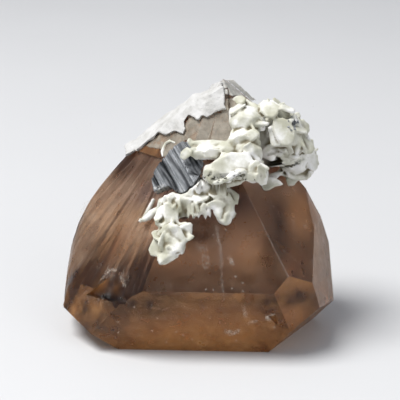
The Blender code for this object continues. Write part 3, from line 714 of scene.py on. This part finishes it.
def mark_streaks(mesh, grown):
    """Write the strength of the brown streaks that follow the growth ridges to the attribute named streak."""
    points = coordinates(mesh)
    streak = np.zeros(len(points))
    for index in np.flatnonzero(grown):
        streak[index] = 0.5 + fan_noise(Vector(points[index]), STREAK_LAYERS)
    write_attribute(mesh, "streak", streak)


def takes_base_light(face):
    """Whether a face is the low one at the left, or leans outwards at the foot and isn't the base."""
    aside = face.normal.dot(face_normal(*LOW_LEFT_SIDE)) > SIDE_LIKENESS
    return BASE_SLOPE < face.normal.z < LOW_SLOPE or (aside and not face.smooth)


def bears_bloom_and_sheen(face):
    return face.normal.z > LOW_SLOPE and not takes_base_light(face)


def film(name, kept, density):
    """Thin film over the kept faces of the stone, as dense as a function of place and normal says."""
    bm = bmesh.new()
    bm.from_mesh(bpy.data.objects["topaz"].data)
    bmesh.ops.delete(bm, geom=[face for face in bm.faces if not kept(face)], context="FACES")
    for vertex in bm.verts:
        vertex.co += vertex.normal * FILM_LIFT
    obj = object_from_bmesh(name, bm)
    applied(obj, "SOLIDIFY", thickness=FILM_THICKNESS, offset=1.0, use_rim=True)
    mesh = obj.data
    streaky = {index for polygon in mesh.polygons if polygon.use_smooth for index in polygon.vertices}
    outward = normals(mesh)
    write_attribute(mesh, "cover", [density(Vector(point), Vector(outward[index]), index in streaky)
                                    for index, point in enumerate(coordinates(mesh))])
    return obj


def bloom_and_sheen_density(place, normal, streaky):
    """Dusty bloom: streaky on the growth sides, strong on the right side face, and faint dust with a painted
    sheen on the others.
    """
    mottle = noise.noise(place * 420)
    if streaky:
        front = zone_strength(place, BLOOM_ZONES) if place.y < 0 else 0
        return BLOOM_STREAKY + fan_noise(place, BLOOM_LAYERS) + front
    if abs(face_normal(*RIGHT_SIDE).dot(normal)) > SIDE_LIKENESS:
        return BLOOM_RIGHT + 0.3 * mottle
    return PLAIN_DUST_AND_SHEEN + 0.08 * mottle


def base_light_density(place, normal, streaky):
    """Warm brown film on the low faces, in patches: painted light that comes through the base, with painted
    reflections in its mottle.
    """
    mottle = noise.noise(place * 260) + 0.7 * noise.noise(place * 700) + 0.4 * noise.noise(place * 1900)
    front = zone_strength(place, BASE_LIGHT_ZONES) if place.y < 0 else 0
    return (BASE_LIGHT_PLAIN + front) * (1 + 0.9 * mottle)


def inside(pixel, outline):
    """Whether a pixel lies in an outline."""
    within = False
    for index, (x, y) in enumerate(outline):
        x_before, y_before = outline[index - 1]
        if (y > pixel[1]) != (y_before > pixel[1]):
            if pixel[0] < x + (x_before - x) * (pixel[1] - y) / (y_before - y):
                within = not within
    return within


def steps(values):
    """Even steps from the least to the greatest of some values."""
    count = int((max(values) - min(values)) / CRUST_STEP) + 1
    return [min(values) + CRUST_STEP * index for index in range(count)]


def crust(name, outline, thickness):
    """Thin crust on the stone, over an area outlined in pixels."""
    columns, rows = (steps([pixel[axis] for pixel in outline]) for axis in range(2))
    places = {}
    for column, x in enumerate(columns):
        for row, y in enumerate(rows):
            shift = CRUST_RAGGEDNESS * noise.noise((x * CRUST_WAVES, y * CRUST_WAVES, 4.5))
            if inside((x + shift, y + shift), outline):
                places[column, row] = seen_place((x, y), FILM_LIFT)
    number = {}
    faces = []
    for column, row in places:
        corners = [(column, row), (column, row + 1), (column + 1, row + 1), (column + 1, row)]
        if all(corner in places for corner in corners):
            sides = [(places[corners[index]] - places[corners[index - 1]]).length for index in range(4)]
            if max(sides) < CRUST_BREAK:
                faces.append([number.setdefault(corner, len(number)) for corner in corners])
    obj = object_from_lists(name, [places[corner] for corner in number], faces)
    applied(obj, "SOLIDIFY", thickness=thickness, offset=0.0, use_rim=True)
    add_relief(obj.data, [(CRUST_NOISE[0], thickness), (CRUST_NOISE[1], thickness / 2)], 5)
    shade_smooth(obj.data)
    return obj


def fan_angle(place):
    """Angle about the axis of the fan of growth ridges, and the angle from that axis."""
    side = FAN_AXIS.cross(Vector((0, 1, 0))).normalized()
    ahead = FAN_AXIS.cross(side)
    direction = (place - BODY_CENTRE).normalized()
    return math.atan2(direction.dot(side), direction.dot(ahead)), math.acos(direction.dot(FAN_AXIS))


def waves(across, along, layer):
    """Noise over two measures, for a layer of its waves across and along and its shift."""
    return noise.noise((across * layer[0], along * layer[1], layer[2]))


def fan_noise(place, layers):
    """Sum of layers of noise drawn out along the growth ridges."""
    around, down = fan_angle(place)
    return sum(strength * waves(around, down, layer) for *layer, strength in layers)


def add_growth_relief(mesh, grown):
    """Smooth the coarse terraces of the growth sides, and lay fine ridges along them."""
    points = coordinates(mesh)
    rim = KDTree(int((~grown).sum()))
    for index in np.flatnonzero(~grown):
        rim.insert(points[index], int(index))
    rim.balance()
    points = smoothed(points, edge_pairs(mesh), TERRACE_ROUNDS, grown)
    set_coordinates(mesh, points)
    outward = normals(mesh)
    for index in np.flatnonzero(grown):
        place = Vector(points[index])
        fade = min(1.0, rim.find(place)[2] / RIDGE_FADE)
        points[index] += outward[index] * fan_noise(place, RIDGE_LAYERS) * fade
    set_coordinates(mesh, points)


# Albite, coating and tablet

def on_plane(pixel, point, normal):
    """Where the line of sight of a pixel meets a plane."""
    direction = line_of_sight(pixel)
    return CAMERA_PLACE + direction * ((point - CAMERA_PLACE).dot(normal) / direction.dot(normal))


def slab(corners, normal, thickness, bevel=BLADE_BEVEL):
    """Closed plate with a bevelled rim, from a ring of corners in one plane."""
    count = len(corners)
    middle = sum(corners, Vector()) / count
    spokes = [corner - middle for corner in corners]
    turning = sum((spokes[index - 1].cross(spokes[index]) for index in range(count)), Vector())
    if turning.dot(normal) < 0:
        corners = corners[::-1]
    vertices = []
    for height, inset in ((-0.5, bevel), (0.1, 0.0), (0.5, bevel)):
        for index, corner in enumerate(corners):
            before = (corner - corners[index - 1]).normalized()
            after = (corners[(index + 1) % count] - corner).normalized()
            inward = normal.cross(before + after).normalized()
            vertices.append(corner + inward * inset + normal * thickness * height)
    faces = [list(range(count))[::-1], list(range(2 * count, 3 * count))]
    for ring in (0, count):
        for index in range(count):
            following = (index + 1) % count
            faces.append((ring + index, ring + following, ring + count + following, ring + count + index))
    return applied(object_from_lists("slab", vertices, faces), "TRIANGULATE")


def seen_blade(outline, facing, lift, thickness):
    """A blade whose outline is seen at these pixels, with its middle lifted off the stone."""
    normal = face_normal(*facing)
    place = seen_place(np.mean(outline, axis=0), lift * MM)
    return slab([on_plane(pixel, place, normal) for pixel in outline], normal, thickness * MM)


def sprigs(seed):
    """Small blades that lie over each other on the cluster at chance angles."""
    dice = np.random.default_rng(seed)
    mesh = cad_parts["albite_cluster"].data
    mesh.calc_loop_triangles()
    triangles = [[mesh.vertices[index].co for index in triangle.vertices] for triangle in mesh.loop_triangles]
    areas = np.array([triangle.area for triangle in mesh.loop_triangles])
    blades = []
    while len(blades) < SPRIG_COUNT:
        picked = dice.choice(len(areas), p=areas / areas.sum())
        first, second = sorted(dice.random(2))
        a, b, c = triangles[picked]
        place = a * first + b * (second - first) + c * (1 - second)
        if above_stone(place)[0] < SPRIG_CLEARANCE:
            continue
        outward = mesh.loop_triangles[picked].normal
        facing = (Vector(dice.normal(size=3)) * SPRIG_TILT + outward).normalized()
        along = facing.cross(Vector(dice.normal(size=3))).normalized()
        aside = facing.cross(along)
        length = dice.uniform(*SPRIG_LENGTHS) * MM
        width = length * dice.uniform(*SPRIG_WIDTHS)
        outline = np.array(SPRIG_OUTLINE) * dice.uniform(*SPRIG_SCATTER, size=(len(SPRIG_OUTLINE), 2))
        corners = [place + along * x * length + aside * y * width for x, y in outline]
        blades.append(slab(corners, facing, dice.uniform(*SPRIG_THICKNESSES) * MM, SPRIG_BEVEL))
    return blades


def settle_on_stone(mesh, reach, sink, floor):
    """Draw the points near the stone onto it, and let none lie deeper in it than the floor."""
    points = coordinates(mesh)
    for index, point in enumerate(points):
        distance, nearest, normal = above_stone(Vector(point))
        if distance < reach:
            share = min(1.0, (reach - distance) / reach)
            settled = max(distance - sink * share, -floor)
            points[index] = nearest + (Vector(point) - nearest).normalized() * abs(settled) * (
                math.copysign(1, settled) * math.copysign(1, distance))
    set_coordinates(mesh, points)


def add_relief(mesh, layers, seed):
    """Shift points along their normals by noise: each layer has its features per metre and its height."""
    points = coordinates(mesh)
    outward = normals(mesh)
    for index, point in enumerate(points):
        height = sum(size * noise.noise(Vector(point) * scale + Vector((seed, 0, 0)))
                     for scale, size in layers)
        points[index] += outward[index] * height
    set_coordinates(mesh, points)


def mark_hollows(mesh, rounds, depth):
    """Write how deep each point lies in a hollow to the attribute named hollow, 0 to 1."""
    points = coordinates(mesh)
    ahead = smoothed(points, edge_pairs(mesh), rounds) - points
    write_attribute(mesh, "hollow", np.clip((ahead * normals(mesh)).sum(axis=1) / depth, 0, 1))


def remeshed(node, name, voxel, others=()):
    """A copy of one of the solids, with other objects grown into it, as one fine even mesh."""
    obj = joined(name, [new_object(name + "_solid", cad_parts[node].data.copy()), *others])
    return applied(obj, "REMESH", mode="VOXEL", voxel_size=voxel, adaptivity=0.0)


def settled(obj, settling, relief, seed, hollows):
    """An object smoothed and drawn onto the stone, with relief and with its hollows marked."""
    mesh = obj.data
    set_coordinates(mesh, smoothed(coordinates(mesh), edge_pairs(mesh), SMOOTHING_ROUNDS))
    settle_on_stone(mesh, *settling)
    add_relief(mesh, relief, seed)
    mark_hollows(mesh, *hollows)
    shade_smooth(mesh)
    return obj


def albite():
    """The cluster's own solid with the blades that the photograph shows, grown into one mesh."""
    blades = [seen_blade(*blade) for blade in ALBITE_BLADES]
    blades += sprigs(5)
    obj = remeshed("albite_cluster", "albite", ALBITE_VOXEL, blades)
    return settled(obj, ALBITE_SETTLING, ALBITE_RELIEF, 3, ALBITE_HOLLOWS)


def coating():
    """Powdery crust that lies close on the stone."""
    obj = remeshed("albite_coating", "coating", COATING_VOXEL)
    return settled(obj, COATING_SETTLING, COATING_RELIEF, 8, COATING_HOLLOWS)


def tablet():
    """Dark tablet with fine striations along its grooves."""
    obj = remeshed("dark_tablet", "tablet", TABLET_VOXEL)
    mesh = obj.data
    facing = face_normal(*TABLET_FACING)
    level = (Vector((1, 0, 0)) - facing * facing.x).normalized()
    steep = facing.cross(level)
    turn = math.radians(GROOVE_SLOPE)
    along = level * math.cos(turn) + steep * math.sin(turn)
    aside = facing.cross(along)
    points = coordinates(mesh)
    outward = normals(mesh)
    stripe = np.empty(len(points))
    for index, point in enumerate(points):
        across = Vector(point).dot(aside)
        down = Vector(point).dot(along)
        across += GROOVE_SWAY * waves(across, down, SWAY_WAVES)
        broad = waves(across, down, BROAD_GROOVES)
        fine = waves(across, down, FINE_GROOVES)
        height = BROAD_HEIGHT * broad + FINE_HEIGHT * fine
        points[index] += outward[index] * height * abs(outward[index] @ facing)
        stripe[index] = 0.5 + 0.75 * broad + 0.45 * fine
    set_coordinates(mesh, points)
    settle_on_stone(mesh, *TABLET_SETTLING)
    write_attribute(mesh, "stripe", stripe)
    mark_zones(mesh, "dust", DUST_ZONES)
    dust = mesh.attributes["dust"].data
    for index, point in enumerate(points):
        dust[index].value *= 0.6 + 1.6 * noise.noise(Vector(point) * DUST_NOISE)
    return obj


# Grains

GRAIN_CORNERS = np.array([(1, 1, 1), (1, -1, -1), (-1, 1, -1), (-1, -1, 1)]) / math.sqrt(3)
GRAIN_FACES = np.array([(0, 1, 2), (0, 3, 1), (0, 2, 3), (1, 3, 2)])


def grains(name, places, sizes, dice, slimness=0.35):
    """Small closed grains of these sizes in one mesh, each turned by chance."""
    count = len(places)
    facings = np.linalg.qr(dice.normal(size=(count, 3, 3)))[0]
    corners = (GRAIN_CORNERS[None] * (1, 1, slimness)) @ facings * np.asarray(sizes)[:, None, None] / 2
    vertices = (np.asarray(places)[:, None, :] + corners).reshape(-1, 3)
    faces = (GRAIN_FACES[None] + 4 * np.arange(count)[:, None, None]).reshape(-1, 3)
    return object_from_lists(name, vertices.tolist(), faces.tolist())


def marks(name, entries, seed):
    """Fine grains along paths seen at the stone's surface."""
    dice = np.random.default_rng(seed)
    places = []
    sizes = []
    for path, spread, count, widths in entries:
        lengths = [math.dist(start, end) for start, end in zip(path, path[1:])]
        for _ in range(count):
            part = dice.choice(len(lengths), p=np.array(lengths) / sum(lengths))
            spot = np.array(path[part]) + (np.array(path[part + 1]) - path[part]) * dice.random()
            spot += dice.normal(0, spread, size=2)
            size = dice.uniform(*widths) * MM
            place = seen_place(spot, MARK_LIFT)
            if abs(above_stone(place)[0]) < MARK_REACH:
                places.append(place)
                sizes.append(size)
    return grains(name, places, sizes, dice)


def dots(pixels):
    """Entries for marks that are single dots."""
    return [([(x, y), (x + 0.3, y + 0.3)], *DOT) for x, y in pixels]


def specks(name, middle, halves, count, sizes, seed):
    """Grains that sit half sunk on the albite around a pixel."""
    dice = np.random.default_rng(seed)
    tree = tree_of(bpy.data.objects["albite"])
    places = [seen_place(spot, 0.0, tree) for spot in dice.normal(middle, halves, size=(count, 2))]
    return grains(name, places, dice.uniform(*sizes, size=count) * MM, dice, slimness=0.8)


def haze(name, count, sizes, seed):
    """Fine grains all through the stone."""
    dice = np.random.default_rng(seed)
    low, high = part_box("topaz_crystal")
    places = []
    while len(places) < count:
        place = Vector(dice.uniform(low, high))
        if above_stone(place)[0] < -HAZE_DEPTH:
            places.append(place)
    return grains(name, places, dice.uniform(*sizes, size=count) * MM, dice)


# Stage

LIGHT_TARGET = Vector((0, 0, 20)) * MM


def floor():
    """Pale floor that curves up into a backdrop."""
    bend = 0.6  # where the floor starts to rise, and the radius of its curve
    profile = [(-3.0, 0.0)]
    profile += [(bend + bend * math.sin(turn), bend - bend * math.cos(turn))
                for turn in (math.radians(5 * step) for step in range(19))]
    profile.append((2 * bend, 3.0))
    vertices = [(side, y, z - FLOOR_GAP) for side in (-3.0, 3.0) for y, z in profile]
    count = len(profile)
    obj = object_from_lists("floor", vertices, [(step, count + step, count + step + 1, step + 1)
                                                for step in range(count - 1)])
    shade_smooth(obj.data)
    material, tree, shader = new_material("floor")
    colour = ramp_node(tree, noise_node(tree, 3), [(0.3, (0.60, 0.60, 0.60)), (0.7, (0.64, 0.64, 0.64))])
    feed(shader, {"Base Color": colour, "Roughness": 0.7})
    obj.data.materials.append(material)


def softbox(name, place, size, power):
    """Area light that looks at the stone."""
    light = bpy.data.lights.new(name, "AREA")
    light.shape = "DISK"
    light.size = size
    light.energy = power
    obj = new_object(name, light)
    obj.location = place
    obj.rotation_mode = "QUATERNION"
    obj.rotation_quaternion = (Vector(place) - LIGHT_TARGET).to_track_quat("Z", "Y")


def lights_and_camera():
    scene = bpy.context.scene
    softbox("key", (-0.35, -0.10, 0.80), 0.45, 9.5)
    softbox("fill", (0.6, -0.6, 0.5), 0.6, 1.2)
    world = bpy.data.worlds.new("room")
    world.use_nodes = True
    feed(world.node_tree.nodes["Background"], {"Color": (0.86, 0.90, 1.0, 1.0), "Strength": 0.40})
    scene.world = world
    camera = bpy.data.cameras.new("camera")
    camera.lens = LENS
    camera.sensor_width = SENSOR
    camera.clip_start = 0.01
    view = new_object("camera", camera)
    view.location = CAMERA_PLACE
    view.rotation_mode = "QUATERNION"
    view.rotation_quaternion = FORWARD.to_track_quat("-Z", "Y")
    scene.camera = view
    scene.view_settings.view_transform = "Standard"
    scene.cycles.use_denoising = True
    scene.cycles.max_bounces = 20
    scene.cycles.glossy_bounces = 12
    scene.cycles.transmission_bounces = 20


def dress(obj, material):
    """Give a piece its material and its slot, and let it ride on the stone."""
    obj.data.materials.clear()
    obj.data.materials.append(material)
    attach(obj, "root")


# The four minerals

ALBITE_STOPS = [(0.36, (0.50, 0.49, 0.38)), (0.5, (0.66, 0.65, 0.56)), (0.62, (0.86, 0.85, 0.81))]
COATING_STOPS = [(0.3, (0.47, 0.46, 0.43)), (0.6, (0.62, 0.61, 0.59))]
TABLET_STOPS = [(0.35, (0.20, 0.21, 0.22)), (0.7, (0.36, 0.37, 0.38))]
# The albite turns dark olive in its hollows: painted shade
albite_white = mineral_material("albite", ALBITE_STOPS, 260, (0.35, 0.6), 0.05 * MM, subsurface=0.25,
                                marks_on=[("hollow", (0.20, 0.17, 0.10), (0.06, 0.55))])
# The coating turns darker in its hollows: painted shade
coating_white = mineral_material("coating", COATING_STOPS, 500, (0.7, 0.9), 0.12 * MM,
                                 marks_on=[("hollow", (0.36, 0.32, 0.27), (0.5, 1.2))])
tablet_dark = mineral_material("dark_mineral", TABLET_STOPS, 700, (0.3, 0.55), 0.05 * MM, metallic=0.4,
                               marks_on=[("stripe", (0.018, 0.02, 0.023), (0.3, 0.85)),
                                         ("dust", (0.46, 0.46, 0.44), (0.2, 0.9))])

dress(topaz(), topaz_material())
dress(albite(), albite_white)
dress(coating(), coating_white)
dress(tablet(), tablet_dark)
for piece, node in (("topaz", "topaz_crystal"), ("albite", "albite_cluster"), ("coating", "albite_coating"),
                    ("tablet", "dark_tablet")):
    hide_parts(node)

# Grains, films and crusts

pale_grain = grain_material("pale_grains", (0.30, 0.25, 0.21), (0.62, 0.55, 0.49), 900, (0.3, 0.5))
bright_grain = grain_material("bright_grains", (0.55, 0.42, 0.30), (0.95, 0.88, 0.80), 900, (0.2, 0.4))
gold_grain = grain_material("gold_grains", (0.30, 0.18, 0.07), (0.52, 0.38, 0.20), 600, (0.3, 0.5))
# Bloom film: dusty bloom, with a painted sheen on the plain faces
bloom_and_sheen = film_material("bloom_and_sheen_film", (0.34, 0.20, 0.12), (0.50, 0.34, 0.23), 0.42, by_cover=True)
# Film of painted warm light on the low faces, with painted reflections in its mottle
base_light = film_material("base_light_film", (0.26, 0.10, 0.03), (0.60, 0.30, 0.11), 0.8, by_cover=True)
dull_crust = film_material("window_crust", (0.30, 0.26, 0.20), (0.42, 0.38, 0.31), 0.8)
white_crust = film_material("peak_crust", (0.56, 0.55, 0.50), (0.70, 0.68, 0.63), 0.95)

dress(marks("pale_marks", PALE_MARKS + dots(PALE_DOTS), 11), pale_grain)
dress(marks("lower_marks", LOWER_MARKS + dots(LOWER_DOTS), 14), bright_grain)
dress(marks("gold_marks", GOLD_MARKS, 13), gold_grain)
dress(specks("dark_specks", (293, 124), (3.2, 3.0), 22, (0.3, 1.1), 15), tablet_dark)
dress(haze("haze", 7000, (0.05, 0.12), 40), pale_grain)
dress(film("bloom_and_sheen_film", bears_bloom_and_sheen, bloom_and_sheen_density), bloom_and_sheen)
dress(film("base_light_film", takes_base_light, base_light_density), base_light)
dress(crust("window_crust", WINDOW_AREA, 0.05 * MM), dull_crust)
dress(crust("peak_crust", PEAK_AREA, 0.08 * MM), white_crust)
dress(crust("strip_crust", STRIP_AREA, 0.08 * MM), dull_crust)

floor()
lights_and_camera()
